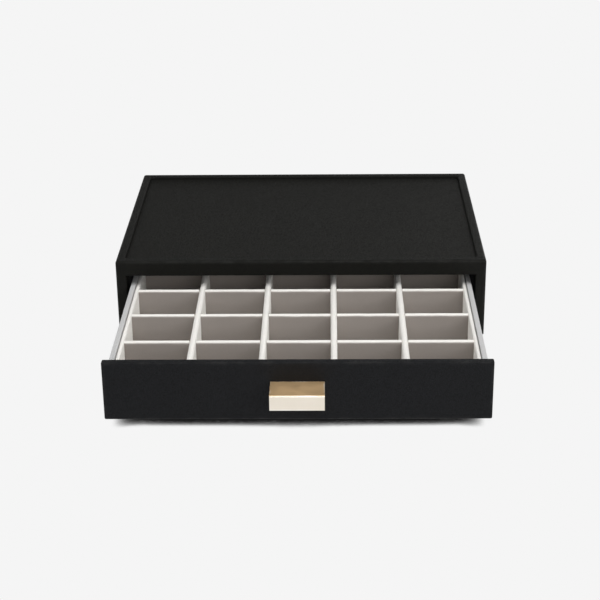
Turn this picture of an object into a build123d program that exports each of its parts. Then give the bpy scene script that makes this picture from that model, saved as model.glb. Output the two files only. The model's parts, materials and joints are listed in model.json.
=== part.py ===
from build123d import *
import os

# Small stackable box for cufflinks and rings, with one drawer, drawn out as it is shown.
# Millimetres. +Z is up, the front faces -Y, and the origin is the centre of the case's
# footprint on the surface that it stands on. The drawer is drawn closed and saved open.

# Case
case_width = 250.0
case_depth = 180.0
case_height = 57.0
side_wall = 7.0
back_wall = 7.0
floor_thickness = 5.0
rail_height = 10.7          # front rail, from the drawer's mouth to the top of the rim
cover = 0.8                 # leatherette over the boards
lining = 0.8                # suede paper on the walls of the cavity
edge_radius = 2.5
foot_edge_radius = 1.2
mouth_edge_radius = 1.0
turn_in = 14.0              # leatherette folded into the mouth
turn_under = 15.0           # leatherette folded under the case

# Raised rim and the recess that a second box stands in
rim_width = 6.0
recess_depth = 1.8
recess_corner_radius = 3.5
rim_edge_radius = 1.0

# Foot plate under the case, which fits the recess of a box below
foot_board_thickness = 1.2
foot_felt_thickness = 0.8
nesting_gap = 1.0
felt_setback = 0.5

# Drawer front
front_thickness = 4.2
front_side_gap = 0.5
front_top_gap = 0.4
front_bottom_gap = 0.4
front_edge_radius = 1.0

# Drawer box
drawer_side_gap = 2.6       # between the drawer's side and the lined wall of the case
drawer_rear_gap = 0.3       # what is left behind the closed drawer
drawer_board = 3.2
drawer_bottom_thickness = 2.0
drawer_side_drop = 6.7      # the drawer's sides end this far under the top of its front
travel_left = 9.0           # how much further than shown the drawer comes out, to the stops

# Guides inside the case
glide_thickness = 0.4
glide_width = 5.0
glide_end_gap = 2.0
kicker_gap = 0.3            # over the drawer's sides
kicker_overlap = 0.5        # past the inner face of the drawer's sides
kicker_setback = 20.0       # from the front of the case
stop_setback = 20.0
stop_depth = 8.0
stop_width = 30.0
stop_height = 6.0
stop_side_gap = 11.5        # between each stop and the kicker beside it
tab_ceiling_gap = 1.0
tab_side_clearance = 2.0    # each tab is this much narrower than its stop, on each side

# Velvet tray in the drawer
tray_columns = 5
tray_rows = 4
tray_side_gap = 0.3
tray_front_gap = 0.5
tray_rear_gap = 0.4
tray_base_thickness = 2.0
tray_wall = 2.6
divider = 4.0
tray_drop = 0.8             # the tray ends this far under the top of the drawer's sides
lap_gap = 0.1               # around each divider in its slot
round_over = 0.1            # flat left on each side of a rounded top

# Pull, folded from one metal strip, and its screws
pull_width = 32.7
pull_reach = 19.1
pull_lip = 9.7
pull_sheet = 1.5
pull_bend_radius = 1.0
pull_top_rise = 25.8        # top of the pull above the bottom edge of the drawer front
boss_radius = 2.5
boss_length = 2.0
boss_gap = 0.1
screw_radius = 1.5
screw_bore_gap = 0.05
screw_hole_gap = 0.2
screw_head_radius = 2.8
screw_head_height = 1.4
screw_head_gap = 0.3
screw_length = 3.6          # from under the head to the tip
screw_tip_gap = 0.2
screw_spacing = 18.0

# Worked out: case
case_half = case_width / 2
case_front = -case_depth / 2
case_back = case_depth / 2
case_bottom = foot_board_thickness + foot_felt_thickness
cavity_half = case_half - side_wall
cavity_back = case_back - back_wall
cavity_floor = case_bottom + floor_thickness
cavity_ceiling = case_height - rail_height
mouth_end = case_front + turn_in
recess_half_x = case_half - rim_width
recess_half_y = case_depth / 2 - rim_width
recess_floor = case_height - recess_depth
top_board_face = recess_floor - cover

# Worked out: drawer, closed
front_half = cavity_half - front_side_gap
front_low = cavity_floor + front_bottom_gap
front_high = cavity_ceiling - front_top_gap
front_rear = case_front + front_thickness
drawer_low = cavity_floor + glide_thickness
drawer_high = front_high - drawer_side_drop
drawer_half = cavity_half - drawer_side_gap
drawer_inner_half = drawer_half - drawer_board
drawer_rear = cavity_back - drawer_rear_gap
drawer_back_face = drawer_rear - drawer_board
drawer_floor = drawer_low + drawer_bottom_thickness
kicker_inner = drawer_inner_half - kicker_overlap
stop_centre = kicker_inner - stop_side_gap - stop_width / 2
stop_rear = case_front + stop_setback + stop_depth
photographed_opening = drawer_back_face - stop_rear - travel_left

# Worked out: tray
tray_half = drawer_inner_half - tray_side_gap
tray_inner_half = tray_half - tray_wall
tray_front = front_rear + tray_front_gap
tray_back = drawer_back_face - tray_rear_gap
tray_floor = drawer_floor + tray_base_thickness
tray_high = drawer_high - tray_drop
column_pitch = (2 * tray_half - tray_wall) / tray_columns
row_pitch = (tray_back - tray_front - tray_wall) / tray_rows
lap_height = (tray_floor + tray_high) / 2

# Worked out: pull
pull_high = front_low + pull_top_rise
pull_low = pull_high - pull_lip
screw_height = (pull_low + pull_high - pull_sheet) / 2
screw_seat = front_rear - screw_head_height


def block(x, y, z):
    """Box between two values along each axis."""
    sizes = [high - low for low, high in (x, y, z)]
    centre = [(high + low) / 2 for low, high in (x, y, z)]
    return Pos(*centre) * Box(*sizes)


def plate(half_x, half_y, radius, z):
    """Flat plate with rounded corners, centred on the origin."""
    outline = RectangleRounded(2 * half_x, 2 * half_y, radius)
    return Pos(0, 0, z[0]) * extrude(outline, z[1] - z[0])


def rod(radius, x, z, y):
    """Round rod along Y between two values of y."""
    return Pos(x, (y[0] + y[1]) / 2, z) * Rot(90, 0, 0) * Cylinder(radius, y[1] - y[0])


def edges_at(shape, axis, value):
    """Edges that lie wholly in the plane where the axis has that value."""
    return shape.edges().filter_by_position(axis, value - 0.001, value + 0.001)


# Case

def case_outside(inset):
    """Outside of the case with its rounded edges, set in by a skin's thickness."""
    half = case_half - inset
    depth = (case_front + inset, case_back - inset)
    height = (case_bottom + inset, case_height - inset)
    body = block((-half, half), depth, height)
    rounded = body.edges().filter_by(Axis.Z) + edges_at(body, Axis.Z, height[1])
    body = fillet(rounded, edge_radius - inset)
    return fillet(edges_at(body, Axis.Z, height[0]), foot_edge_radius - inset)


def cavity(growth, front):
    """Space for the drawer, grown by a lining's thickness, from a given depth."""
    half = cavity_half + growth
    height = (cavity_floor - growth, cavity_ceiling + growth)
    return block((-half, half), (front, cavity_back + growth), height)


def recess(growth, low):
    """Recess in the top, grown by a skin's thickness, down to a given height."""
    above = case_height + cover
    radius = recess_corner_radius + growth
    return plate(recess_half_x + growth, recess_half_y + growth, radius, (low, above))


def mouth_edges(shape):
    """The four edges of the drawer's mouth."""
    edges = edges_at(shape, Axis.Y, case_front)
    edges = edges.filter_by_position(Axis.X, -cavity_half, cavity_half)
    return edges.filter_by_position(Axis.Z, cavity_floor, cavity_ceiling)


def rim_edges(shape):
    """The inner edges of the rim's top face."""
    edges = edges_at(shape, Axis.Z, case_height)
    edges = edges.filter_by_position(Axis.X, -recess_half_x, recess_half_x)
    return edges.filter_by_position(Axis.Y, -recess_half_y, recess_half_y)


def make_case_core():
    """All the boards of the case in one, to be cut into single boards."""
    core = case_outside(cover) - cavity(lining, case_front)
    return core - recess(cover, top_board_face)


def make_outer_wrap(core):
    """Leatherette over the case, folded into the mouth, the recess and underneath."""
    wrap = case_outside(0) - cavity(0, case_front) - recess(0, recess_floor)
    wrap = fillet(mouth_edges(wrap), mouth_edge_radius)
    wrap = fillet(rim_edges(wrap), rim_edge_radius)
    under_half_x = case_half - turn_under
    under_half_y = case_depth / 2 - turn_under
    underneath = block((-under_half_x, under_half_x), (-under_half_y, under_half_y),
                       (case_bottom, case_bottom + cover))
    return wrap - core - cavity(lining, mouth_end) - recess(0, top_board_face) - underneath


def cut_boards(core):
    """The boards of the case, each cut from the core."""
    inner = cavity_half + lining
    low = cavity_floor - lining
    high = cavity_ceiling + lining
    across = (-case_half, case_half)
    along = (case_front, case_back)
    return {
        "top_board": core & block(across, along, (high, top_board_face)),
        "bottom_board": core & block(across, along, (case_bottom, low)),
        "left_side_board": core & block((-case_half, -inner), along, (low, high)),
        "right_side_board": core & block((inner, case_half), along, (low, high)),
        "back_board": core & block((-inner, inner), (cavity_back + lining, case_back), (low, high)),
    }


def cut_rim_strips(core):
    """The four mitred strips of the raised rim."""
    reach = 3 * rim_width
    height = (top_board_face, case_height)
    strips = {}
    for name, half, length, turn in (("front_rim_strip", case_depth / 2, case_half, 0),
                                     ("right_rim_strip", case_half, case_depth / 2, 90),
                                     ("back_rim_strip", case_depth / 2, case_half, 180),
                                     ("left_rim_strip", case_half, case_depth / 2, 270)):
        corners = [(-length, -half), (length, -half),
                   (length - reach, -half + reach), (-length + reach, -half + reach)]
        wedge = extrude(make_face(Polyline(corners, close=True)), height[1] - height[0])
        strips[name] = core & (Rot(0, 0, turn) * Pos(0, 0, height[0]) * wedge)
    return strips


def make_top_inlay():
    """Leatherette panel on the floor of the recess."""
    return plate(recess_half_x, recess_half_y, recess_corner_radius,
                 (top_board_face, recess_floor))


def make_linings():
    """Five sheets that line the cavity behind the folded-in leatherette."""
    outer = cavity_half + lining
    depth = (mouth_end, cavity_back)
    height = (cavity_floor, cavity_ceiling)
    return {
        "floor_lining": block((-outer, outer), depth, (cavity_floor - lining, cavity_floor)),
        "ceiling_lining": block((-outer, outer), depth, (cavity_ceiling, cavity_ceiling + lining)),
        "left_lining": block((-outer, -cavity_half), depth, height),
        "right_lining": block((cavity_half, outer), depth, height),
        "back_lining": block((-outer, outer), (cavity_back, cavity_back + lining),
                             (cavity_floor - lining, cavity_ceiling + lining)),
    }


def make_foot():
    """Plate under the case, and the felt that it stands on."""
    half_x = recess_half_x - nesting_gap
    half_y = recess_half_y - nesting_gap
    board = plate(half_x, half_y, recess_corner_radius, (foot_felt_thickness, case_bottom))
    felt = plate(half_x - felt_setback, half_y - felt_setback, recess_corner_radius,
                 (0, foot_felt_thickness))
    return {"foot_board": board, "foot_felt": felt}


# Guides

def make_guides():
    """Glides under the drawer, kickers over its sides and stops for its tabs."""
    kicker_low = drawer_high + kicker_gap
    glide_y = (case_front + glide_end_gap, cavity_back - glide_end_gap)
    glide_z = (cavity_floor, drawer_low)
    stop_y = (case_front + stop_setback, stop_rear)
    guides = {}
    for name, side in (("left", -1), ("right", 1)):
        glide_x = sorted((side * drawer_half, side * (drawer_half - glide_width)))
        kicker_x = sorted((side * cavity_half, side * kicker_inner))
        centre = side * stop_centre
        guides[name + "_glide"] = block(glide_x, glide_y, glide_z)
        guides[name + "_kicker"] = block(kicker_x, (case_front + kicker_setback, cavity_back),
                                         (kicker_low, cavity_ceiling))
        guides[name + "_stop"] = block((centre - stop_width / 2, centre + stop_width / 2), stop_y,
                                       (cavity_ceiling - stop_height, cavity_ceiling))
    return guides


# Drawer front and pull

def screw_places():
    """The x of each screw of the pull."""
    return (-screw_spacing / 2, screw_spacing / 2)


def cut_fixing_holes(shape):
    """Cuts the seats of the pull's bosses and screws through the drawer front."""
    boss_end = case_front + boss_length + boss_gap
    for x in screw_places():
        shape -= rod(boss_radius + boss_gap, x, screw_height, (case_front, boss_end))
        shape -= rod(screw_radius + screw_hole_gap, x, screw_height, (case_front, front_rear))
        shape -= rod(screw_head_radius + screw_head_gap, x, screw_height, (screw_seat, front_rear))
    return shape


def make_drawer_front():
    """Board, leatherette cover and rear sheet of the drawer front."""
    outside = block((-front_half, front_half), (case_front, front_rear), (front_low, front_high))
    rounded = outside.edges().filter_by(Axis.Y) + edges_at(outside, Axis.Y, case_front)
    outside = fillet(rounded, front_edge_radius)
    inner = front_half - cover
    height = (front_low + cover, front_high - cover)
    hollow = block((-inner, inner), (case_front + cover, front_rear), height)
    board = block((-inner, inner), (case_front + cover, front_rear - lining), height)
    sheet = block((-inner, inner), (front_rear - lining, front_rear), height)
    return {
        "front_cover": cut_fixing_holes(outside - hollow),
        "front_board": cut_fixing_holes(board),
        "front_rear_sheet": cut_fixing_holes(sheet),
    }


def make_pull():
    """Strip folded down at the front and at the back, with two bosses behind."""
    front = case_front - pull_reach
    half = pull_width / 2
    strip = block((-half, half), (front, case_front), (pull_low, pull_high))
    hollow = block((-half, half), (front + pull_sheet, case_front - pull_sheet),
                   (pull_low, pull_high - pull_sheet))
    strip -= hollow
    bend = edges_at(strip, Axis.Z, pull_high).filter_by_position(Axis.Y, front, front)
    strip = fillet(bend.filter_by(Axis.X), pull_bend_radius)
    for x in screw_places():
        strip += rod(boss_radius, x, screw_height, (case_front, case_front + boss_length))
        tip = screw_seat - screw_length - screw_tip_gap
        strip -= rod(screw_radius + screw_bore_gap, x, screw_height, (tip, case_front + boss_length))
    return strip


def make_screws():
    """Two cheese-head screws that hold the pull from inside the drawer."""
    screws = []
    for x in screw_places():
        shank = rod(screw_radius, x, screw_height, (screw_seat - screw_length, screw_seat))
        screws.append(shank + rod(screw_head_radius, x, screw_height, (screw_seat, front_rear)))
    return Compound(children=screws)


# Drawer box

def make_drawer_back():
    """Rear board, with two tabs that meet the stops when the drawer is right out."""
    depth = (drawer_back_face, drawer_rear)
    board = block((-drawer_inner_half, drawer_inner_half), depth, (drawer_low, drawer_high))
    tab_half = stop_width / 2 - tab_side_clearance
    for centre in (-stop_centre, stop_centre):
        board += block((centre - tab_half, centre + tab_half), depth,
                       (drawer_low, cavity_ceiling - tab_ceiling_gap))
    return board


def make_drawer_box():
    """The four boards behind the drawer front."""
    sides = (front_rear, drawer_rear)
    height = (drawer_low, drawer_high)
    return {
        "drawer_left_side": block((-drawer_half, -drawer_inner_half), sides, height),
        "drawer_right_side": block((drawer_inner_half, drawer_half), sides, height),
        "drawer_back": make_drawer_back(),
        "drawer_bottom": block((-drawer_inner_half, drawer_inner_half),
                               (front_rear, drawer_back_face), (drawer_low, drawer_floor)),
    }


# Tray

def strip_along_x(length, thickness, y):
    """Upright strip across the tray with a rounded top, centred at y."""
    strip = block((-length / 2, length / 2), (y - thickness / 2, y + thickness / 2),
                  (tray_floor, tray_high))
    top = edges_at(strip, Axis.Z, tray_high).filter_by(Axis.X)
    return fillet(top, thickness / 2 - round_over)


def strip_along_y(thickness, x):
    """Upright strip along the tray with a rounded top, between its end walls."""
    strip = block((x - thickness / 2, x + thickness / 2),
                  (tray_front + tray_wall, tray_back - tray_wall), (tray_floor, tray_high))
    top = edges_at(strip, Axis.Z, tray_high).filter_by(Axis.Y)
    return fillet(top, thickness / 2 - round_over)


def column_places():
    """The x of each divider between two columns."""
    first = -tray_half + tray_wall / 2
    return [first + column_pitch * number for number in range(1, tray_columns)]


def row_places():
    """The y of each divider between two rows, from the front."""
    first = tray_front + tray_wall / 2
    return [first + row_pitch * number for number in range(1, tray_rows)]


def slot(x, y, z):
    """Half-lap slot where two dividers cross."""
    half = divider / 2 + lap_gap
    return block((x - half, x + half), (y - half, y + half), z)


def make_tray():
    """Velvet base, four walls and the half-lapped dividers of the tray."""
    inner_front = tray_front + tray_wall
    inner_back = tray_back - tray_wall
    wall_x = tray_half - tray_wall / 2
    parts = {
        "tray_base": block((-tray_half, tray_half), (tray_front, tray_back),
                           (drawer_floor, tray_floor)),
        "tray_front_wall": strip_along_x(2 * tray_half, tray_wall, inner_front - tray_wall / 2),
        "tray_back_wall": strip_along_x(2 * tray_half, tray_wall, inner_back + tray_wall / 2),
        "tray_left_wall": strip_along_y(tray_wall, -wall_x),
        "tray_right_wall": strip_along_y(tray_wall, wall_x),
    }
    for number, y in enumerate(row_places(), 1):
        strip = strip_along_x(2 * tray_inner_half, divider, y)
        for x in column_places():
            strip -= slot(x, y, (lap_height, tray_high))
        parts["row_divider_" + str(number)] = strip
    for number, x in enumerate(column_places(), 1):
        strip = strip_along_y(divider, x)
        for y in row_places():
            strip -= slot(x, y, (tray_floor, lap_height))
        parts["column_divider_" + str(number)] = strip
    return parts


def make_case():
    """Every piece that stands still."""
    core = make_case_core()
    parts = {"outer_wrap": make_outer_wrap(core), "top_inlay": make_top_inlay()}
    parts.update(cut_boards(core))
    parts.update(cut_rim_strips(core))
    parts.update(make_linings())
    parts.update(make_foot())
    parts.update(make_guides())
    return parts


def make_drawer():
    """Every piece that slides, with the drawer drawn out."""
    parts = {"pull": make_pull(), "pull_screws": make_screws()}
    parts.update(make_drawer_front())
    parts.update(make_drawer_box())
    parts.update(make_tray())
    drawn_out = Pos(0, -photographed_opening, 0)
    return {name: drawn_out * shape for name, shape in parts.items()}


os.makedirs("parts", exist_ok=True)
for name, shape in {**make_case(), **make_drawer()}.items():
    export_step(shape, "parts/" + name + ".step")
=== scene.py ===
import json
import math

import bmesh
import bpy
from mathutils import Matrix, Vector

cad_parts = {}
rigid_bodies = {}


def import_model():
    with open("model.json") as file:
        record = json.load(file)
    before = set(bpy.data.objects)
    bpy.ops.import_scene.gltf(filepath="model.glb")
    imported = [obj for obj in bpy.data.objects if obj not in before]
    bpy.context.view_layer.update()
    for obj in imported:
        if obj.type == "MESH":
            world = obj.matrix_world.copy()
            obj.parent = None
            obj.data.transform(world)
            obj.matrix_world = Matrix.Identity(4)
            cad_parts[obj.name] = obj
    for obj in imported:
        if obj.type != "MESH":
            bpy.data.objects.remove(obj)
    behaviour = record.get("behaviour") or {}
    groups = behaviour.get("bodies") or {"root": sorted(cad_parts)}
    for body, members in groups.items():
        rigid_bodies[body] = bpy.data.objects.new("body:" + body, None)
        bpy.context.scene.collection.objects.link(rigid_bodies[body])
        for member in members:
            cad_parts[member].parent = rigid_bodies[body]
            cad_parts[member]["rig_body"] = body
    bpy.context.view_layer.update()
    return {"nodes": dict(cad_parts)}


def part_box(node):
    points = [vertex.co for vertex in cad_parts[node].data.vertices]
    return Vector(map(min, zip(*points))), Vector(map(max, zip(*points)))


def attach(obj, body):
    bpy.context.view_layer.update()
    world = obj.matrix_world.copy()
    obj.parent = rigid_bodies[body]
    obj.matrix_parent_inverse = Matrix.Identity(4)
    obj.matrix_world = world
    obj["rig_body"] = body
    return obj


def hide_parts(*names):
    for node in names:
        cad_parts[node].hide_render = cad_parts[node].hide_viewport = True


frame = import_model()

# Low black leatherette case with one drawer of velvet compartments, drawn out as it is shown.
# Metres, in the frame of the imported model: +Z is up, the front faces -Y, and the case stands
# on the floor over the origin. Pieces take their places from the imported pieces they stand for.

mm = 0.001
near = 0.02 * mm            # how close a corner lies to a plane that it belongs to
straight = 0.999            # least share of its length by which an edge runs along an axis
upright = 0.5               # most that the normal of an upright face rises or falls
smooth_angle = 35           # degrees between faces that are shaded as one
strip_smooth_angle = 50     # the same on velvet strips and the pull
X, Y, Z = 0, 1, 2

# Leatherette
skin_thickness = 0.8 * mm
case_edge = 1.7 * mm
case_foot_edge = 1.2 * mm
mouth_edge = 1.0 * mm
rim_edge = 1.2 * mm
recess_corner = 3.5 * mm
under_width = 15.0 * mm     # leatherette turned under the case
seam_setback = 9.0 * mm     # of the back sheet's edge from the edges of the case
seam_width = 0.35 * mm
seam_depth = 0.3 * mm
panel_gap = 0.06 * mm       # round the panel in the recess
panel_edge = 0.3 * mm
face_edge = 1.0 * mm        # of the drawer front
glide_clearance = 0.1 * mm  # under the drawer front when the drawer is closed

# Drawer, foot and blocks
sheet_edge = 0.3 * mm
board_edge = 0.45 * mm
strip_step = 6.0 * mm       # between the rings of corners along a velvet strip
strip_flat = 0.15 * mm      # left flat on each side of a rounded top
strip_waver = 0.09 * mm
lap_gap = 0.1 * mm
velvet_floor_edge = 0.5 * mm
felt_edge = 0.3 * mm
wood_edge = 0.4 * mm
well_past = 1.0             # farther out than any side of the part

# Pull and screws
rod_sides = 48
metal_thickness = 1.5 * mm
metal_edge = 0.35 * mm
metal_edge_angle = 60       # degrees from which the pull's edges are eased
front_bend = 1.0 * mm
rear_bend = 0.3 * mm
boss_radius = 2.5 * mm
boss_gap = 0.1 * mm
boss_hole_depth = 2 * mm    # through the leatherette
screw_head_radius = 2.8 * mm
screw_head_height = 1.4 * mm
screw_head_edge = 0.25 * mm
screw_head_gap = 3 * boss_gap
screw_radius = 1.5 * mm
screw_root_radius = 1.2 * mm
screw_pitch = 0.5 * mm
screw_bore = 1.55 * mm
screw_tip_room = 0.2 * mm
slot_width = 0.7 * mm
slot_depth = 0.6 * mm


# Shaping by hand

PARTS = {"VERT": "verts", "EDGE": "edges", "FACE": "faces"}


def take_up(piece):
    """Makes one piece the only one selected."""
    bpy.ops.object.select_all(action="DESELECT")
    piece.select_set(True)
    bpy.context.view_layer.objects.active = piece


def settle(name):
    """Names the newest primitive and moves its place and turn into its mesh."""
    piece = bpy.context.object
    piece.name = name
    piece.data.name = name
    bpy.ops.object.transform_apply(location=True, rotation=True, scale=True)
    return piece


def add_block(name, low, high):
    """Box between two corners."""
    bpy.ops.object.select_all(action="DESELECT")
    low, high = Vector(low), Vector(high)
    bpy.ops.mesh.primitive_cube_add(size=1, location=(low + high) / 2, scale=high - low)
    return settle(name)


def add_rod(name, radius, x, z, front, rear):
    """Round rod along Y between two depths."""
    bpy.ops.object.select_all(action="DESELECT")
    bpy.ops.mesh.primitive_cylinder_add(vertices=rod_sides, radius=radius, depth=rear - front,
                                        location=(x, (front + rear) / 2, z),
                                        rotation=(math.radians(90), 0, 0))
    return settle(name)


def choose(piece, kind, test):
    """Opens a piece for editing with those of its corners, edges or faces that pass a test."""
    take_up(piece)
    bpy.ops.object.mode_set(mode="EDIT")
    bpy.ops.mesh.select_mode(type=kind)
    bpy.ops.mesh.select_all(action="DESELECT")
    shape = bmesh.from_edit_mesh(piece.data)
    for part in getattr(shape, PARTS[kind]):
        if test(part):
            part.select_set(True)
    bmesh.update_edit_mesh(piece.data)


def close_up():
    """Ends editing."""
    bpy.ops.object.mode_set(mode="OBJECT")


def lies_at(part, axis, value):
    """Whether an edge or face lies wholly in a plane across an axis."""
    return all(abs(corner.co[axis] - value) < near for corner in part.verts)


def lies_within(part, low, high):
    """Whether an edge or face lies wholly inside a box."""
    return all(low[axis] - near < corner.co[axis] < high[axis] + near
               for corner in part.verts for axis in (X, Y, Z))


def runs_along(edge, axis):
    """Whether an edge runs along an axis."""
    way = edge.verts[1].co - edge.verts[0].co
    return abs(way[axis]) > straight * way.length


def round_edges(piece, test, radius, segments):
    """Rounds the edges that pass a test."""
    choose(piece, "EDGE", test)
    bpy.ops.mesh.bevel(offset=radius, segments=segments, profile=0.5, affect="EDGES",
                       clamp_overlap=True)
    close_up()


def cut_away(piece, test):
    """Deletes the faces that pass a test."""
    choose(piece, "FACE", test)
    bpy.ops.mesh.delete(type="FACE")
    close_up()


def inset_to(piece, low, high):
    """Insets the selected face and fits it to the rectangle of two corners."""
    bpy.ops.mesh.inset(thickness=mm)
    shape = bmesh.from_edit_mesh(piece.data)
    corners = [corner.co.copy() for corner in shape.verts if corner.select]
    now_low = Vector([min(corner[axis] for corner in corners) for axis in (X, Y, Z)])
    now_high = Vector([max(corner[axis] for corner in corners) for axis in (X, Y, Z)])
    middle = (now_low + now_high) / 2
    growth = [(high[axis] - low[axis]) / (now_high[axis] - now_low[axis])
              if now_high[axis] - now_low[axis] > near else 1 for axis in (X, Y, Z)]
    bpy.ops.transform.resize(value=growth, center_override=middle)
    wanted = (Vector(low) + Vector(high)) / 2
    shift = [wanted[axis] - middle[axis] if now_high[axis] - now_low[axis] > near else 0
             for axis in (X, Y, Z)]
    bpy.ops.transform.translate(value=shift)


def sink_opening(piece, test, low, high, push):
    """Opens a face inside a rectangle, turns its edge in by a distance and leaves it open."""
    choose(piece, "FACE", test)
    inset_to(piece, low, high)
    bpy.ops.mesh.extrude_region_move(TRANSFORM_OT_translate={"value": push})
    bpy.ops.mesh.delete(type="FACE")
    close_up()


def apply_modifier(piece, kind, **settings):
    """Gives a piece a modifier and applies it."""
    take_up(piece)
    bpy.ops.object.modifier_add(type=kind)
    modifier = piece.modifiers[-1]
    for name, value in settings.items():
        setattr(modifier, name, value)
    bpy.ops.object.modifier_apply(modifier=modifier.name)


def thicken(piece, thickness):
    """Gives an open skin its thickness, inwards."""
    apply_modifier(piece, "SOLIDIFY", thickness=thickness, offset=-1, use_even_offset=True)


def combine(piece, tool, operation):
    """Cuts a piece with a tool, or welds the two, and removes the tool."""
    apply_modifier(piece, "BOOLEAN", operation=operation, object=tool, solver="EXACT")
    bpy.data.objects.remove(tool)


def drill(piece, radius, x, z, front, rear):
    """Bores a round hole along Y."""
    combine(piece, add_rod("drill_bit", radius, x, z, front, rear), "DIFFERENCE")


def smooth_off(piece, angle=smooth_angle):
    """Shades rounded edges smoothly and keeps the flat faces flat."""
    take_up(piece)
    bpy.ops.object.shade_smooth_by_angle(angle=math.radians(angle))
    apply_modifier(piece, "WEIGHTED_NORMAL", keep_sharp=True)


def fit(piece, finish, *nodes):
    """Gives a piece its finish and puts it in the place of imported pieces, on their body."""
    first = frame["nodes"][nodes[0]]
    piece.data.materials.clear()
    piece.data.materials.append(finish)
    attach(piece, first["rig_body"])
    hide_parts(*nodes)


slot_of = {name: node.data.materials[0].name for name, node in frame["nodes"].items()}


# Building materials from nodes

SOCKETS = {"value": "NodeSocketFloat", "vector": "NodeSocketVector"}


def grey(value):
    """Neutral tone."""
    return (value, value, value, 1)


def put(tree, kind, feeds=(), **settings):
    """Adds a node, sets it up and feeds its inputs with values or other nodes' outputs."""
    node = tree.nodes.new("ShaderNode" + kind)
    for name, value in settings.items():
        setattr(node, name, value)
    for name, feed in dict(feeds).items():
        if isinstance(feed, bpy.types.NodeSocket):
            tree.links.new(feed, node.inputs[name])
        else:
            node.inputs[name].default_value = feed
    return node


def maths(tree, operation, first, second=0.0):
    """One step of arithmetic."""
    return put(tree, "Math", {0: first, 1: second}, operation=operation).outputs[0]


def vector_maths(tree, operation, first, second=(0, 0, 0)):
    """One step of arithmetic on vectors."""
    return put(tree, "VectorMath", {0: first, 1: second}, operation=operation).outputs[0]


def scaled(tree, vector, share):
    """A vector or colour times a number."""
    return put(tree, "VectorMath", {0: vector, "Scale": share}, operation="SCALE").outputs[0]


def split(tree, vector):
    """A vector's X, Y and Z."""
    return put(tree, "SeparateXYZ", {0: vector}).outputs


def remap(tree, value, low, high, to_low=0.0, to_high=1.0):
    """Takes one range smoothly to another."""
    feeds = {"Value": value, "From Min": low, "From Max": high, "To Min": to_low, "To Max": to_high}
    return put(tree, "MapRange", feeds, interpolation_type="SMOOTHSTEP").outputs["Result"]


def mix_colours(tree, share, first, second):
    """Goes from the first colour to the second. A Mix node's colours are inputs 6 and 7."""
    return put(tree, "Mix", {0: share, 6: first, 7: second}, data_type="RGBA").outputs[2]


def noise(tree, vector, size, detail=2.0, roughness=0.5):
    """Noise whose lumps are about as wide as a size."""
    feeds = {"Vector": vector, "Scale": 1 / size, "Detail": detail, "Roughness": roughness}
    return put(tree, "TexNoise", feeds).outputs["Fac"]


def raise_up(tree, height, depth, strength=1.0, below=None):
    """Bump that is as deep as a length."""
    feeds = {"Height": height, "Distance": depth, "Strength": strength}
    if below is not None:
        feeds["Normal"] = below
    return put(tree, "Bump", feeds).outputs["Normal"]


def new_group(name, takes, gives):
    """Empty node group with named inputs and outputs. Returns it with its two ends."""
    group = bpy.data.node_groups.new(name, "ShaderNodeTree")
    for title, kind in takes.items():
        group.interface.new_socket(title, in_out="INPUT", socket_type=SOCKETS[kind])
    for title, kind in gives.items():
        group.interface.new_socket(title, in_out="OUTPUT", socket_type=SOCKETS[kind])
    taken = group.nodes.new("NodeGroupInput").outputs
    given = group.nodes.new("NodeGroupOutput").inputs
    return group, taken, given


def use(tree, group, **feeds):
    """Places a node group. Its inputs are named in lower case with underscores."""
    node = put(tree, "Group", node_tree=group)
    for name, feed in feeds.items():
        socket = node.inputs[name.replace("_", " ")]
        if isinstance(feed, bpy.types.NodeSocket):
            tree.links.new(feed, socket)
        else:
            socket.default_value = feed
    return node.outputs


def new_material(name):
    """Material with an empty tree."""
    finish = bpy.data.materials.new(name)
    finish.use_nodes = True
    finish.node_tree.nodes.clear()
    return finish, finish.node_tree


def show_surface(tree, shading):
    """Makes a shader's output the surface of the material."""
    output = put(tree, "OutputMaterial")
    tree.links.new(shading, output.inputs["Surface"])


def new_finish(name, roughness=0.5, **sockets):
    """Material with a shader whose steady values are set on its own sockets."""
    finish, tree = new_material(name)
    shader = put(tree, "BsdfPrincipled", {"Roughness": roughness})
    for socket, value in sockets.items():
        shader.inputs[socket.replace("_", " ")].default_value = value
    show_surface(tree, shader.outputs["BSDF"])
    place = put(tree, "TexCoord").outputs
    return finish, tree, shader, place


def feed_shader(tree, shader, **sockets):
    """Links patterns to a shader's sockets."""
    for socket, feed in sockets.items():
        tree.links.new(feed, shader.inputs[socket.replace("_", " ")])


# Patterns that the materials share

usual = (0.3, 0.7)          # where nearly all of a noise lies
noise_middle = 0.5
bend_scale = 700.0          # lumps per metre of the noise that bends the creases
bend_reach = 0.7 * mm
dome_reach = 0.28           # from a crease to a pebble's full height, in pebbles
fine_scale = 2.3            # small pebbles to a large one, along a line
fine_reach = 0.3            # as dome_reach, of the small pebbles
fine_height = 0.3           # what they add to a large one, in its heights,
fine_ground = 0.5           # and what is there without them
pore_size = 0.18 * mm
pore_height = 0.25
wear_and_highlight_patch = 9 * mm
wear_and_highlight_range = (0.35, 0.7)    # of the noise, from unmarked to fully worn, with a painted highlight
blotch_size = 14 * mm


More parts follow.
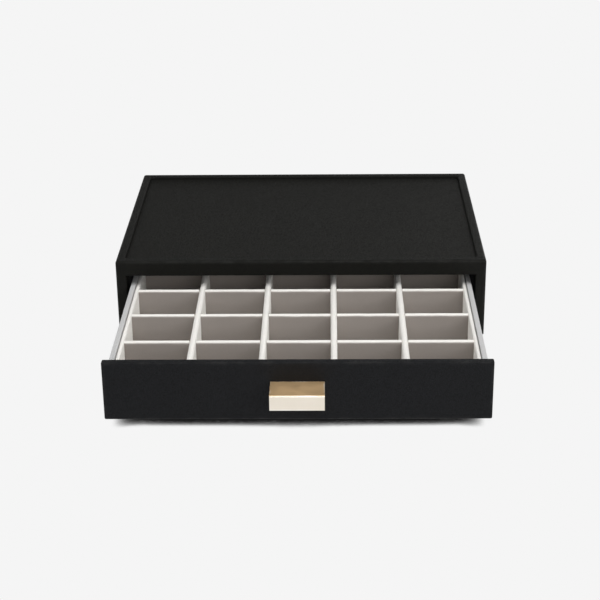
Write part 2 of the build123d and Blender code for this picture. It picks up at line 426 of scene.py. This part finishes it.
def make_pebble_group():
    """Leather pebbles between creases, with fine pores."""
    group, taken, given = new_group(
        "leather_pebbles", {"place": "vector", "pebble size": "value"},
        {"height": "value", "crease": "value"})
    scale = maths(group, "DIVIDE", 1.0, taken["pebble size"])
    wander = put(group, "TexNoise", {"Vector": taken["place"], "Scale": bend_scale, "Detail": 1.0})
    aside = vector_maths(group, "SUBTRACT", wander.outputs["Color"], (noise_middle,) * 3)
    bent = vector_maths(group, "ADD", taken["place"], scaled(group, aside, bend_reach))
    cells = put(group, "TexVoronoi", {"Vector": bent, "Scale": scale}, feature="DISTANCE_TO_EDGE")
    fine = put(group, "TexVoronoi",
               {"Vector": bent, "Scale": maths(group, "MULTIPLY", scale, fine_scale)},
               feature="DISTANCE_TO_EDGE")
    dome = remap(group, cells.outputs["Distance"], 0.0, dome_reach)
    small = remap(group, fine.outputs["Distance"], 0.0, fine_reach)
    raised = put(group, "Math", {0: small, 1: fine_height, 2: fine_ground},
                 operation="MULTIPLY_ADD").outputs[0]
    both = maths(group, "MULTIPLY", dome, raised)
    pores = maths(group, "MULTIPLY", noise(group, taken["place"], pore_size, 1.0), pore_height)
    height = maths(group, "ADD", maths(group, "ADD", dome, both), pores)
    group.links.new(height, given["height"])
    group.links.new(maths(group, "SUBTRACT", 1.0, dome), given["crease"])
    return group


def make_edge_group():
    """How near a place is to the edges of a box, broken up in patches as worn edges are, for worn
    edges and a painted highlight.
    """
    group, taken, given = new_group(
        "edge_wear_and_highlight",
        {"place": "vector", "middle": "vector", "half size": "vector", "reach": "value"},
        {"wear_and_highlight": "value"})
    off = vector_maths(group, "SUBTRACT", taken["place"], taken["middle"])
    out = vector_maths(group, "ABSOLUTE", off)
    left = vector_maths(group, "SUBTRACT", taken["half size"], out)
    close = [maths(group, "SUBTRACT", 1.0, remap(group, part, 0.0, taken["reach"]))
             for part in split(group, left)]
    pairs = [maths(group, "MULTIPLY", close[one], close[two])
             for one, two in ((X, Y), (Y, Z), (X, Z))]
    most = maths(group, "MAXIMUM", maths(group, "MAXIMUM", pairs[0], pairs[1]), pairs[2])
    patches = remap(group, noise(group, taken["place"], wear_and_highlight_patch, 3.0), *wear_and_highlight_range)
    group.links.new(maths(group, "MULTIPLY", most, patches), given["wear_and_highlight"])
    return group


def make_fibre_group():
    """Fine matted fibres, as in felt, suede paper and pressed board."""
    group, taken, given = new_group(
        "matted_fibres", {"place": "vector", "fibre size": "value", "stretch": "vector"},
        {"fibres": "value", "blotches": "value"})
    along = vector_maths(group, "MULTIPLY", taken["place"], taken["stretch"])
    scale = maths(group, "DIVIDE", 1.0, taken["fibre size"])
    strands = put(group, "TexNoise", {"Vector": along, "Scale": scale, "Detail": 4.0,
                                      "Roughness": 0.65, "Distortion": 1.5})
    blotches = remap(group, noise(group, taken["place"], blotch_size, 3.0), *usual)
    group.links.new(strands.outputs["Fac"], given["fibres"])
    group.links.new(blotches, given["blotches"])
    return group


pebbles = make_pebble_group()
edge_wear_and_highlight = make_edge_group()
matted_fibres = make_fibre_group()


def worn_and_highlit_edges(tree, spot, low, high, reach):
    """Worn edges and a painted highlight along the edges of the box between two corners."""
    return use(tree, edge_wear_and_highlight, place=spot, middle=(low + high) / 2, half_size=(high - low) / 2,
               reach=reach)["wear_and_highlight"]


# Materials

# Leatherette
pebble_size = 0.85 * mm
pebble_depth = 0.05 * mm
swell_size = 12 * mm        # of the slow unevenness of what it covers
swell_depth = 0.12 * mm
leather_blotch = 45 * mm
leather_wear_and_sheen_reach = 2.6 * mm
leather_roughness = (0.46, 0.72)        # on the pebbles and in the creases
# Painted shade in the creases between the pebbles.
crease_painted_shade, crease_shade_share = grey(0.003), 0.55
# Edges paler where worn by rubbing, and a painted sheen on them.
rubbed_and_sheen_tone, rubbed_and_sheen_share = (0.032, 0.031, 0.030, 1), 0.35
rubbed_polish = 0.08

# Velvet
pile_painted_sheen = (0.85, 0.83, 0.79, 1)       # painted sheen, on its tops and on what faces left or right
pile_painted_shade = (0.295, 0.265, 0.243, 1)    # painted shade, on what faces the front or the back
sheen_to_shade_turn = (0.60, 0.98)                # how far a face looks along Y from painted sheen to painted shade
pile_brushed = 0.18
pile_cloud = 16 * mm
pile_flecks = (0.90, 1.05)
pile_size = 0.35 * mm
pile_depth = 0.12 * mm
pile_swell = 5 * mm
pile_swell_depth = 0.2 * mm

# Paper
paper_dark, paper_pale = grey(0.46), grey(0.60)
soil_tone, soil_share = (0.44, 0.435, 0.425, 1), 0.18
paper_roughness = (0.62, 0.8)
paper_fibre = 0.6 * mm
paper_tooth = 0.04 * mm
paper_stretch = (1, 0.35, 1)

# Metal
# The lip is painted paler as a highlight; the top has the plate's own champagne.
lip_highlight_tones = (0.86, 0.79, 0.68, 1), (0.90, 0.835, 0.735, 1)
top_tones = (0.76, 0.55, 0.315, 1), (0.83, 0.61, 0.36, 1)
lip_roughness = (0.30, 0.36)
top_roughness = (0.56, 0.62)
top_turn = (0.55, 0.98)                 # how far a face looks up from the lip's painted highlight to the top
# Edges polished, and painted brighter as a highlight.
polished_highlight_tone, polished_highlight_share = (0.98, 0.95, 0.90, 1), 0.9
polished_highlight_reach = 1.2 * mm
brush_stretch = (0.08, 1, 1)
brush_size = 0.10 * mm
brush_depth = 0.002 * mm
brush_roughness = 0.05
metal_cloud = 9 * mm
zinc_tones = (0.52, 0.53, 0.54, 1), (0.72, 0.72, 0.71, 1)
zinc_roughness = (0.28, 0.42)
spangle_size = 0.6 * mm
spangle_depth = 0.01 * mm

# Felt, suede paper, boards, wood and tape
patch_share = 0.25          # of their darker tone in blotches
gloss_spread = (-0.08, 0.06)    # of their roughness


def make_leatherette(name, low, high, deep, light, gloss):
    """Black leatherette between two tones, with painted shade in its creases, its edges a little
    worn by rubbing and painted paler as a sheen where the box has edges.
    """
    finish, tree, shader, place = new_finish(name, Specular_IOR_Level=gloss)
    spot = place["Object"]
    grain = use(tree, pebbles, place=spot, pebble_size=pebble_size)
    wear_and_highlight = worn_and_highlit_edges(tree, spot, low, high, leather_wear_and_sheen_reach)
    black = mix_colours(tree, noise(tree, spot, leather_blotch, 3.0), deep, light)
    # Painted shade in the creases, then edges worn by rubbing with a painted sheen.
    crease_shaded = mix_colours(tree, maths(tree, "MULTIPLY", grain["crease"], crease_shade_share), black,
                          crease_painted_shade)
    rubbed_and_sheen = mix_colours(tree, maths(tree, "MULTIPLY", wear_and_highlight, rubbed_and_sheen_share), crease_shaded, rubbed_and_sheen_tone)
    dull = remap(tree, grain["crease"], 0.0, 1.0, *leather_roughness)
    rough = maths(tree, "SUBTRACT", dull, maths(tree, "MULTIPLY", wear_and_highlight, rubbed_polish))
    coarse = raise_up(tree, noise(tree, spot, swell_size), swell_depth, strength=0.35)
    normal = raise_up(tree, grain["height"], pebble_depth, strength=0.55, below=coarse)
    feed_shader(tree, shader, Base_Color=rubbed_and_sheen, Roughness=rough, Normal=normal)
    return finish


def make_velvet():
    """Short taupe pile, with painted shade where it faces the front or the back and a painted sheen
    elsewhere.
    """
    finish, tree, shader, place = new_finish(
        "short_velvet", 0.92, Specular_IOR_Level=0.1, Sheen_Weight=0.18, Sheen_Roughness=0.45,
        Sheen_Tint=(0.95, 0.92, 0.88, 1))
    spot = place["Object"]
    fibres = use(tree, matted_fibres, place=spot, fibre_size=pile_size, stretch=(1, 1, 1))
    # Painted shade where faces look along the drawer's depth, painted sheen on tops and sides,
    # shifted by random brush marks.
    across = maths(tree, "ABSOLUTE", split(tree, place["Normal"])["Y"])
    cloud = maths(tree, "SUBTRACT", noise(tree, spot, pile_cloud, 3.0), noise_middle)
    brushed = maths(tree, "MULTIPLY", cloud, pile_brushed)
    depth = remap(tree, maths(tree, "ADD", across, brushed), *sheen_to_shade_turn)
    pile = mix_colours(tree, depth, pile_painted_sheen, pile_painted_shade)
    shade = scaled(tree, pile, remap(tree, fibres["fibres"], *usual, *pile_flecks))
    soft = raise_up(tree, noise(tree, spot, pile_swell), pile_swell_depth, strength=0.3)
    normal = raise_up(tree, fibres["fibres"], pile_depth, strength=0.6, below=soft)
    feed_shader(tree, shader, Base_Color=shade, Normal=normal)
    return finish


def make_paper():
    """Pale grey covering paper with a faint tooth."""
    finish, tree, shader, place = new_finish("covering_paper", 0.7, Specular_IOR_Level=0.3)
    fibres = use(tree, matted_fibres, place=place["Object"], fibre_size=paper_fibre,
                 stretch=paper_stretch)
    pale = mix_colours(tree, fibres["fibres"], paper_dark, paper_pale)
    soiled = mix_colours(tree, maths(tree, "MULTIPLY", fibres["blotches"], soil_share), pale,
                         soil_tone)
    normal = raise_up(tree, fibres["fibres"], paper_tooth, strength=0.5)
    rough = remap(tree, fibres["fibres"], *usual, *paper_roughness)
    feed_shader(tree, shader, Base_Color=soiled, Roughness=rough, Normal=normal)
    return finish


def make_champagne_metal(low, high):
    """Champagne plate: satin on its top, smoother on its lip and painted paler there as a highlight,
    with polished edges painted brighter as a highlight.
    """
    finish, tree, shader, place = new_finish("champagne_plate", Metallic=1.0)
    spot = place["Object"]
    lines = vector_maths(tree, "MULTIPLY", spot, brush_stretch)
    brush = noise(tree, lines, brush_size, 3.0, 0.6)
    cloud = noise(tree, spot, metal_cloud)
    wear_and_highlight = worn_and_highlit_edges(tree, spot, low, high, polished_highlight_reach)
    # Painted highlight on the lip, the plate's own champagne on the top.
    satin = remap(tree, split(tree, place["Normal"])["Z"], *top_turn)
    lip = mix_colours(tree, cloud, *lip_highlight_tones)
    top = mix_colours(tree, cloud, *top_tones)
    gold = mix_colours(tree, satin, lip, top)
    # Polished edges painted brighter as a highlight.
    bright = mix_colours(tree, maths(tree, "MULTIPLY", wear_and_highlight, polished_highlight_share), gold, polished_highlight_tone)
    fine = remap(tree, cloud, *usual, *lip_roughness)
    dull = remap(tree, cloud, *usual, *top_roughness)
    duller = maths(tree, "MULTIPLY", satin, maths(tree, "SUBTRACT", dull, fine))
    ground = maths(tree, "ADD", fine, duller)
    rough = maths(tree, "ADD", ground, maths(tree, "MULTIPLY", brush, brush_roughness))
    normal = raise_up(tree, brush, brush_depth, strength=0.4)
    feed_shader(tree, shader, Base_Color=bright, Roughness=rough, Normal=normal)
    return finish


def make_fibre_finish(name, dark, light, fibre, tooth, roughness, stretch=(1, 1, 1), **sockets):
    """Matted fibres between two tones."""
    finish, tree, shader, place = new_finish(name, roughness, **sockets)
    fibres = use(tree, matted_fibres, place=place["Object"], fibre_size=fibre, stretch=stretch)
    tone = mix_colours(tree, fibres["fibres"], dark, light)
    patchy = mix_colours(tree, maths(tree, "MULTIPLY", fibres["blotches"], patch_share), tone,
                         dark)
    normal = raise_up(tree, fibres["fibres"], tooth, strength=0.7)
    rough = remap(tree, fibres["fibres"], *usual, *(roughness + part for part in gloss_spread))
    feed_shader(tree, shader, Base_Color=patchy, Roughness=rough, Normal=normal)
    return finish


def make_zinc():
    """Zinc plate with a faint spangle."""
    finish, tree, shader, place = new_finish("zinc_plate", Metallic=1.0)
    spangle = noise(tree, place["Object"], spangle_size, 3.0)
    tone = mix_colours(tree, spangle, *zinc_tones)
    rough = remap(tree, spangle, *usual, *zinc_roughness)
    normal = raise_up(tree, spangle, spangle_depth, strength=0.4)
    feed_shader(tree, shader, Base_Color=tone, Roughness=rough, Normal=normal)
    return finish


case_low, case_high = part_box("outer_wrap")
panel_low, panel_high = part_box("top_inlay")
face_low, face_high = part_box("front_cover")
pull_low, pull_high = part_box("pull")
screws_low, screws_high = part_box("pull_screws")

case_leather = make_leatherette(
    "case_leatherette", case_low, case_high, deep=(0.0069, 0.0069, 0.0054, 1),
    light=(0.0100, 0.0100, 0.0081, 1), gloss=0.11)
face_leather = make_leatherette(
    "face_leatherette", face_low, face_high, deep=(0.0072, 0.0078, 0.0092, 1),
    light=(0.0104, 0.0111, 0.0127, 1), gloss=0.13)
velvet = make_velvet()
paper = make_paper()
champagne = make_champagne_metal(pull_low, Vector((pull_high.x, face_low.y, pull_high.z)))
zinc = make_zinc()
felt = make_fibre_finish(
    "foot_felt_black", grey(0.008), (0.035, 0.035, 0.036, 1), fibre=0.5 * mm, tooth=0.15 * mm,
    roughness=0.92, Sheen_Weight=0.2, Specular_IOR_Level=0.1)
suede_paper = make_fibre_finish(
    "suede_lining", grey(0.008), grey(0.024), fibre=0.4 * mm, tooth=0.06 * mm, roughness=0.9,
    Sheen_Weight=0.1, Specular_IOR_Level=0.15)
fibreboard = make_fibre_finish(
    "pressed_fibreboard", (0.26, 0.18, 0.105, 1), (0.50, 0.37, 0.24, 1), fibre=0.5 * mm,
    tooth=0.05 * mm, roughness=0.85, stretch=(0.5, 1, 2.5), Specular_IOR_Level=0.25)
painted_board = make_fibre_finish(
    "painted_board", grey(0.008), grey(0.016), fibre=0.5 * mm, tooth=0.03 * mm, roughness=0.6,
    Specular_IOR_Level=0.3)
stained_wood = make_fibre_finish(
    "stained_softwood", (0.014, 0.012, 0.011, 1), (0.055, 0.048, 0.043, 1), fibre=0.9 * mm,
    tooth=0.05 * mm, roughness=0.6, stretch=(1, 0.06, 1), Specular_IOR_Level=0.35)
tape = make_fibre_finish(
    "low_friction_tape", grey(0.04), grey(0.06), fibre=3 * mm, tooth=0.01 * mm, roughness=0.32,
    Specular_IOR_Level=0.5)

finish_of = {
    "black_leatherette": case_leather, "fibreboard": fibreboard, "black_suede_paper": suede_paper,
    "black_felt": felt, "glide_tape": tape, "black_stained_wood": stained_wood,
    "champagne_metal": champagne, "zinc_steel": zinc, "pale_grey_paper": paper,
    "taupe_velvet": velvet,
}
for name, node in frame["nodes"].items():
    node.material_slots[0].material = finish_of[slot_of[name]]

# The edges of the foot's plate show under the case, so it is painted black.
frame["nodes"]["foot_board"].material_slots[0].material = painted_board


# Case

def round_case_edges(skin, mouth_low, mouth_high):
    """Rounds the recess, the outside, the foot and the mouth of the case."""
    rim_high = Vector((panel_high.x, panel_high.y, case_high.z))

    def at_left_or_right(edge):
        return lies_at(edge, X, case_low.x) or lies_at(edge, X, case_high.x)

    def at_front_or_back(edge):
        return lies_at(edge, Y, case_low.y) or lies_at(edge, Y, case_high.y)

    def is_outer(edge):
        if lies_at(edge, Z, case_high.z):
            return at_left_or_right(edge) or at_front_or_back(edge)
        return runs_along(edge, Z) and at_left_or_right(edge)

    def is_at_foot(edge):
        return (lies_at(edge, Z, case_low.z) and len(edge.link_faces) == 2
                and any(abs(face.normal.z) < upright for face in edge.link_faces))

    round_edges(skin, lambda edge: runs_along(edge, Z) and lies_within(edge, panel_low, rim_high),
                recess_corner, segments=6)
    round_edges(skin, lambda edge: lies_at(edge, Z, case_high.z)
                and lies_within(edge, panel_low, rim_high), rim_edge, segments=4)
    round_edges(skin, is_outer, case_edge, segments=6)
    round_edges(skin, is_at_foot, case_foot_edge, segments=4)
    round_edges(skin, lambda edge: lies_at(edge, Y, case_low.y)
                and lies_within(edge, mouth_low, mouth_high), mouth_edge, segments=4)


def make_case_skin():
    """Leatherette over the case, turned into the mouth, the recess and underneath."""
    skin = add_block("case_skin", case_low, case_high)
    mouth_low = Vector((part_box("left_lining")[1].x, case_low.y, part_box("floor_lining")[1].z))
    mouth_high = Vector((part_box("right_lining")[0].x, case_low.y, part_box("ceiling_lining")[0].z))
    turn_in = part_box("floor_lining")[0].y - case_low.y
    sink_opening(skin, lambda face: lies_at(face, Z, case_high.z), panel_low, panel_high,
                 (0, 0, panel_low.z - case_high.z))
    sink_opening(skin, lambda face: lies_at(face, Y, case_low.y), mouth_low, mouth_high,
                 (0, turn_in, 0))
    choose(skin, "FACE", lambda face: lies_at(face, Z, case_low.z))
    bpy.ops.mesh.inset(thickness=under_width)
    bpy.ops.mesh.delete(type="FACE")
    close_up()
    round_case_edges(skin, mouth_low, mouth_high)
    choose(skin, "FACE", lambda face: lies_at(face, Y, case_high.y))
    bpy.ops.mesh.inset(thickness=seam_setback)
    bpy.ops.mesh.inset(thickness=seam_width, depth=-seam_depth)
    bpy.ops.mesh.inset(thickness=seam_width, depth=seam_depth)
    close_up()
    thicken(skin, skin_thickness)
    smooth_off(skin)
    fit(skin, case_leather, "outer_wrap")


def make_top_panel():
    """Wrapped panel in the recess, with a fine gap round it."""
    gap = Vector((panel_gap, panel_gap, 0))
    panel = add_block("top_panel", panel_low + gap, panel_high - gap)
    round_edges(panel, lambda edge: runs_along(edge, Z), recess_corner - panel_gap, segments=6)
    round_edges(panel, lambda edge: lies_at(edge, Z, panel_high.z), panel_edge, segments=4)
    smooth_off(panel)
    fit(panel, case_leather, "top_inlay")


def make_foot_felt():
    """Felt that the case stands on, its edges soft."""
    low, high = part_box("foot_felt")
    pad = add_block("foot_pad", low, high)
    round_edges(pad, lambda edge: runs_along(edge, Z), recess_corner, segments=6)
    round_edges(pad, lambda edge: lies_at(edge, Z, low.z) or lies_at(edge, Z, high.z),
                felt_edge, segments=3)
    smooth_off(pad)
    fit(pad, felt, "foot_felt")


def make_wood_blocks():
    """Kickers and stops with their edges eased."""
    for name in ("left_kicker", "right_kicker", "left_stop", "right_stop"):
        low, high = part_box(name)
        piece = add_block("eased_" + name, low, high)
        round_edges(piece, lambda edge: True, wood_edge, segments=2)
        smooth_off(piece)
        fit(piece, stained_wood, name)


# Drawer front and pull

screw_x = screws_high.x - screw_head_radius
screw_z = (screws_low.z + screws_high.z) / 2


def make_drawer_face():
    """Leatherette over the drawer front, with the holes behind the pull."""
    lift = Vector((0, 0, glide_clearance))
    face = add_block("drawer_face", face_low + lift, face_high)
    cut_away(face, lambda part: lies_at(part, Y, face_high.y))
    round_edges(face, lambda edge: runs_along(edge, Y) or lies_at(edge, Y, face_low.y),
                face_edge, segments=5)
    thicken(face, skin_thickness)
    for x in (-screw_x, screw_x):
        drill(face, boss_radius + boss_gap, x, screw_z, face_low.y - mm,
              face_low.y + boss_hole_depth)
    smooth_off(face)
    fit(face, face_leather, "front_cover")


def make_rear_sheet():
    """Leatherette sheet on the rear of the drawer front."""
    low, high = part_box("front_rear_sheet")
    sheet = add_block("face_rear_sheet", low, high)
    round_edges(sheet, lambda edge: lies_at(edge, Y, high.y), sheet_edge, segments=3)
    for x in (-screw_x, screw_x):
        drill(sheet, screw_head_radius + screw_head_gap, x, screw_z, low.y - mm, high.y + mm)
    smooth_off(sheet)
    fit(sheet, face_leather, "front_rear_sheet")


def make_pull():
    """Strip folded down at the front and the back, with bosses for its screws."""
    pull = add_block("folded_pull", pull_low, (pull_high.x, face_low.y, pull_high.z))
    cut_away(pull, lambda part: lies_at(part, Z, pull_low.z) or lies_at(part, X, pull_low.x)
             or lies_at(part, X, pull_high.x))
    for y, radius, segments in ((pull_low.y, front_bend, 6), (face_low.y, rear_bend, 3)):
        round_edges(pull, lambda edge: lies_at(edge, Y, y) and lies_at(edge, Z, pull_high.z),
                    radius, segments)
    thicken(pull, metal_thickness)
    apply_modifier(pull, "BEVEL", width=metal_edge, segments=2, limit_method="ANGLE",
                   angle_limit=math.radians(metal_edge_angle))
    for x in (-screw_x, screw_x):
        boss = add_rod("boss", boss_radius, x, screw_z, face_low.y - metal_thickness / 2,
                       pull_high.y)
        combine(pull, boss, "UNION")
        drill(pull, screw_bore, x, screw_z, screws_low.y - screw_tip_room, pull_high.y + mm)
    smooth_off(pull, strip_smooth_angle)
    fit(pull, champagne, "pull")


def make_screws():
    """Two slotted cheese-head screws with cut threads."""
    seat = screws_high.y - screw_head_height
    screw = add_rod("pull_screw_pair", screw_head_radius, screw_x, screw_z, seat, screws_high.y)
    round_edges(screw, lambda edge: lies_at(edge, Y, screws_high.y), screw_head_edge, segments=3)
    choose(screw, "FACE", lambda face: lies_at(face, Y, seat))
    bpy.ops.mesh.inset(thickness=screw_head_radius - screw_radius)
    middle = (screw_x, seat, screw_z)
    turns = int((seat - screws_low.y) / screw_pitch)
    step = (seat - screws_low.y) / turns / 2
    waist = screw_root_radius / screw_radius
    for growth in [waist, 1 / waist] * turns:
        bpy.ops.mesh.extrude_region_move(TRANSFORM_OT_translate={"value": (0, -step, 0)})
        bpy.ops.transform.resize(value=(growth, 1, growth), center_override=middle)
    close_up()
    reach = 2 * screw_head_radius
    slot = add_block(
        "slot_cutter",
        (screw_x - reach, screws_high.y - slot_depth, screw_z - slot_width / 2),
        (screw_x + reach, screws_high.y + mm, screw_z + slot_width / 2))
    combine(screw, slot, "DIFFERENCE")
    take_up(screw)
    bpy.ops.object.duplicate()
    twin = bpy.context.object
    bpy.ops.transform.translate(value=(-2 * screw_x, 0, 0))
    bpy.ops.object.transform_apply(location=True, rotation=True, scale=True)
    twin.select_set(True)
    screw.select_set(True)
    bpy.context.view_layer.objects.active = screw
    bpy.ops.object.join()
    smooth_off(screw)
    fit(screw, zinc, "pull_screws")


# Drawer box and velvet tray

def make_paper_sides():
    """Thin boards covered in paper, their long edges eased."""
    for name in ("drawer_left_side", "drawer_right_side"):
        low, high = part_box(name)
        board = add_block(name.replace("drawer_", "papered_"), low, high)
        round_edges(board, lambda edge: runs_along(edge, Y), board_edge, segments=3)
        smooth_off(board)
        fit(board, paper, name)


def make_velvet_strip(node, along, seed):
    """Upright strip in velvet with a full rounded top that wavers a little."""
    low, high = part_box(node)
    across = Y if along == X else X
    strip = add_block("velvet_" + node, low, high)
    rings = int((high[along] - low[along]) / strip_step)
    choose(strip, "EDGE", lambda edge: runs_along(edge, along))
    bpy.ops.mesh.subdivide(number_cuts=rings)
    close_up()
    choose(strip, "VERT", lambda corner: abs(corner.co[along] - low[along]) > near
           and abs(corner.co[along] - high[along]) > near)
    bpy.ops.transform.vertex_random(offset=strip_waver, uniform=0, normal=0, seed=seed)
    close_up()
    top = high.z - 3 * strip_waver      # a little lower than any wavering corner of the top
    round_edges(strip, lambda edge: all(corner.co.z > top for corner in edge.verts)
                and abs((edge.verts[1].co - edge.verts[0].co)[along]) > mm,
                (high[across] - low[across]) / 2 - strip_flat, segments=6)
    return strip


def cut_laps(strip, crossings, low, high):
    """Cuts the half-lap slots of a divider where others cross it."""
    for crossing in crossings:
        near_side, far_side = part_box(crossing)
        axis = X if far_side.x - near_side.x < far_side.y - near_side.y else Y
        slot_low = Vector((-well_past, -well_past, low))
        slot_high = Vector((well_past, well_past, high))
        slot_low[axis] = near_side[axis] - lap_gap
        slot_high[axis] = far_side[axis] + lap_gap
        combine(strip, add_block("slot_cutter", slot_low, slot_high), "DIFFERENCE")


def make_tray():
    """Velvet floor, walls and half-lapped dividers."""
    low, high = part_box("tray_base")
    base = add_block("velvet_floor", low, high)
    round_edges(base, lambda edge: lies_at(edge, Z, high.z) or runs_along(edge, Z),
                velvet_floor_edge, segments=2)
    smooth_off(base)
    fit(base, velvet, "tray_base")
    names = sorted(frame["nodes"])
    rows = [name for name in names if name.startswith("row_divider")]
    columns = [name for name in names if name.startswith("column_divider")]
    strips = [(name, X) for name in rows + ["tray_front_wall", "tray_back_wall"]]
    strips += [(name, Y) for name in columns + ["tray_left_wall", "tray_right_wall"]]
    for seed, (name, along) in enumerate(strips, 1):
        low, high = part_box(name)
        strip = make_velvet_strip(name, along, seed)
        lap_height = (low.z + high.z) / 2
        if name in rows:
            cut_laps(strip, columns, lap_height, high.z + mm)
        if name in columns:
            cut_laps(strip, rows, low.z - mm, lap_height)
        smooth_off(strip, strip_smooth_angle)
        fit(strip, velvet, name)


make_case_skin()
make_top_panel()
make_foot_felt()
make_wood_blocks()
make_drawer_face()
make_rear_sheet()
make_pull()
make_screws()
make_paper_sides()
make_tray()


# Floor

floor_size = 24.0
floor_white = 0.913         # what the camera sees of it
floor_paper = grey(0.8)     # what it lights the object with
# Under the object the camera sees a contact shadow from ambient occlusion, painted wider by place
# under the ends of the drawer front.
contact_low = Vector((-155, -290, 0)) * mm      # the part of the floor that can carry the contact shadow
contact_high = Vector((155, 120, 0)) * mm
contact_reach = 90 * mm
contact_samples = 32
contact_dark = 0.115        # open share of the sky where the floor is darkest,
contact_pale = 0.235        # where it is as pale as the rest,
contact_pale_aside = 0.55   # and where it is so under the ends of the drawer front, painting the shadow wider there
contact_aside = (94 * mm, 120 * mm)             # from the middle to these ends
contact_floor = 0.011       # share of its brightness that is left where it is darkest


def looked_at(tree):
    """Whether a ray comes from the camera, straight or by a reflection or through glass."""
    path = put(tree, "LightPath").outputs
    direct = maths(tree, "MAXIMUM", path["Is Camera Ray"], path["Is Glossy Ray"])
    return maths(tree, "MAXIMUM", direct, path["Is Transmission Ray"])


def make_floor_finish(name, darkens):
    """Floor that lights the object as white paper does and is seen in one even white, apart from a
    contact shadow from ambient occlusion where it darkens, painted wider under the ends of the
    drawer front.
    """
    finish, tree = new_material(name)
    seen = put(tree, "Emission", {"Strength": floor_white})
    if darkens:
        shade = put(tree, "AmbientOcclusion", {"Distance": contact_reach}, samples=contact_samples)
        spot = put(tree, "TexCoord").outputs["Object"]
        aside = maths(tree, "ABSOLUTE", split(tree, spot)["X"])
        pale = remap(tree, aside, *contact_aside, contact_pale, contact_pale_aside)
        contact = remap(tree, shade.outputs["AO"], contact_dark, pale, contact_floor)
        tree.links.new(maths(tree, "MULTIPLY", contact, floor_white), seen.inputs["Strength"])
    lit = put(tree, "BsdfDiffuse", {"Color": floor_paper})
    both = put(tree, "MixShader", {0: looked_at(tree), 1: lit.outputs[0], 2: seen.outputs[0]})
    show_surface(tree, both.outputs[0])
    return finish


def make_floor():
    """Floor with a middle part that keeps the dark line under the object, a contact shadow from
    ambient occlusion with painted ends.
    """
    bpy.ops.object.select_all(action="DESELECT")
    bpy.ops.mesh.primitive_plane_add(size=floor_size, location=(0, 0, 0))
    floor = settle("studio_floor")
    floor.data.materials.append(make_floor_finish("white_floor", False))
    floor.data.materials.append(make_floor_finish("white_floor_under_object", True))
    choose(floor, "FACE", lambda face: True)
    inset_to(floor, contact_low, contact_high)
    floor.active_material_index = 1
    bpy.ops.object.material_slot_assign()
    close_up()


# Lamps and room

backdrop_top = (0.17, 0.24)     # sine of the angle over which the pale backdrop ends
room_left, room_right = grey(0.13), grey(0.25)
softbox_aim = Vector((0, -0.1, 0.03))
SOFTBOXES = {                   # place, width, height and watts
    "overhead_softbox": ((0, -0.5, 1.20), 1.4, 0.9, 9.5),
    "back_softbox": ((0.60, 1.00, 0.60), 0.7, 0.5, 1.0),
    "left_softbox": ((-1.05, -0.1, 0.75), 0.9, 0.7, 4),
    "right_softbox": ((1.05, -0.5, 0.65), 0.9, 0.6, 5.5),
    "front_softbox": ((0.40, -1.60, 0.60), 1.2, 0.6, 7),
    "key_softbox": ((0.95, -1.10, 0.42), 0.6, 0.45, 0.8),
}


def add_to_scene(name, data):
    """Puts a lamp or a camera in the scene."""
    holder = bpy.data.objects.new(name, data)
    bpy.context.scene.collection.objects.link(holder)
    return holder


def add_softbox(name, place, width, height, power):
    """Large soft lamp that points at the object."""
    lamp = bpy.data.lights.new(name, "AREA")
    lamp.shape = "RECTANGLE"
    lamp.size = width
    lamp.size_y = height
    lamp.energy = power
    holder = add_to_scene(name, lamp)
    holder.location = place
    holder.rotation_euler = (softbox_aim - Vector(place)).to_track_quat("-Z", "Y").to_euler()
    holder.visible_camera = False


def light_studio():
    """Softboxes over, beside and in front of the object, in a dim room with a pale backdrop."""
    world = bpy.data.worlds.new("studio_room")
    world.use_nodes = True
    tree = world.node_tree
    parts = split(tree, put(tree, "TexCoord").outputs["Generated"])
    room = mix_colours(tree, remap(tree, parts["X"], -1.0, 1.0), room_left, room_right)
    low_down = remap(tree, parts["Z"], *backdrop_top, 1.0, 0.0)
    seen = mix_colours(tree, maths(tree, "MULTIPLY", low_down, looked_at(tree)), room,
                       grey(floor_white))
    tree.links.new(seen, tree.nodes["Background"].inputs["Color"])
    bpy.context.scene.world = world
    for name, (place, width, height, power) in SOFTBOXES.items():
        add_softbox(name, place, width, height, power)


# Camera

camera_place = Vector((18.82, -1042.2, 445.55)) * mm
camera_pitch = math.radians(23.654)     # downwards
camera_yaw = math.radians(-1.169)
camera_roll = math.radians(-0.662)
camera_lens = 91.80                     # in millimetres, as is the sensor
camera_sensor = 36


def set_camera():
    """Camera at the photograph's place and angle."""
    ahead = Vector((math.sin(camera_yaw) * math.cos(camera_pitch),
                    math.cos(camera_yaw) * math.cos(camera_pitch), -math.sin(camera_pitch)))
    side = Vector((math.cos(camera_yaw), -math.sin(camera_yaw), 0))
    up = side.cross(ahead)
    right = side * math.cos(camera_roll) + up * math.sin(camera_roll)
    top = up * math.cos(camera_roll) - side * math.sin(camera_roll)
    camera = bpy.data.cameras.new("camera")
    camera.lens = camera_lens
    camera.sensor_width = camera_sensor
    holder = add_to_scene("camera", camera)
    turn = Matrix((right, top, -ahead)).transposed()
    holder.matrix_world = Matrix.Translation(camera_place) @ turn.to_4x4()
    bpy.context.scene.camera = holder


make_floor()
light_studio()
set_camera()
bpy.context.scene.view_settings.view_transform = "Standard"
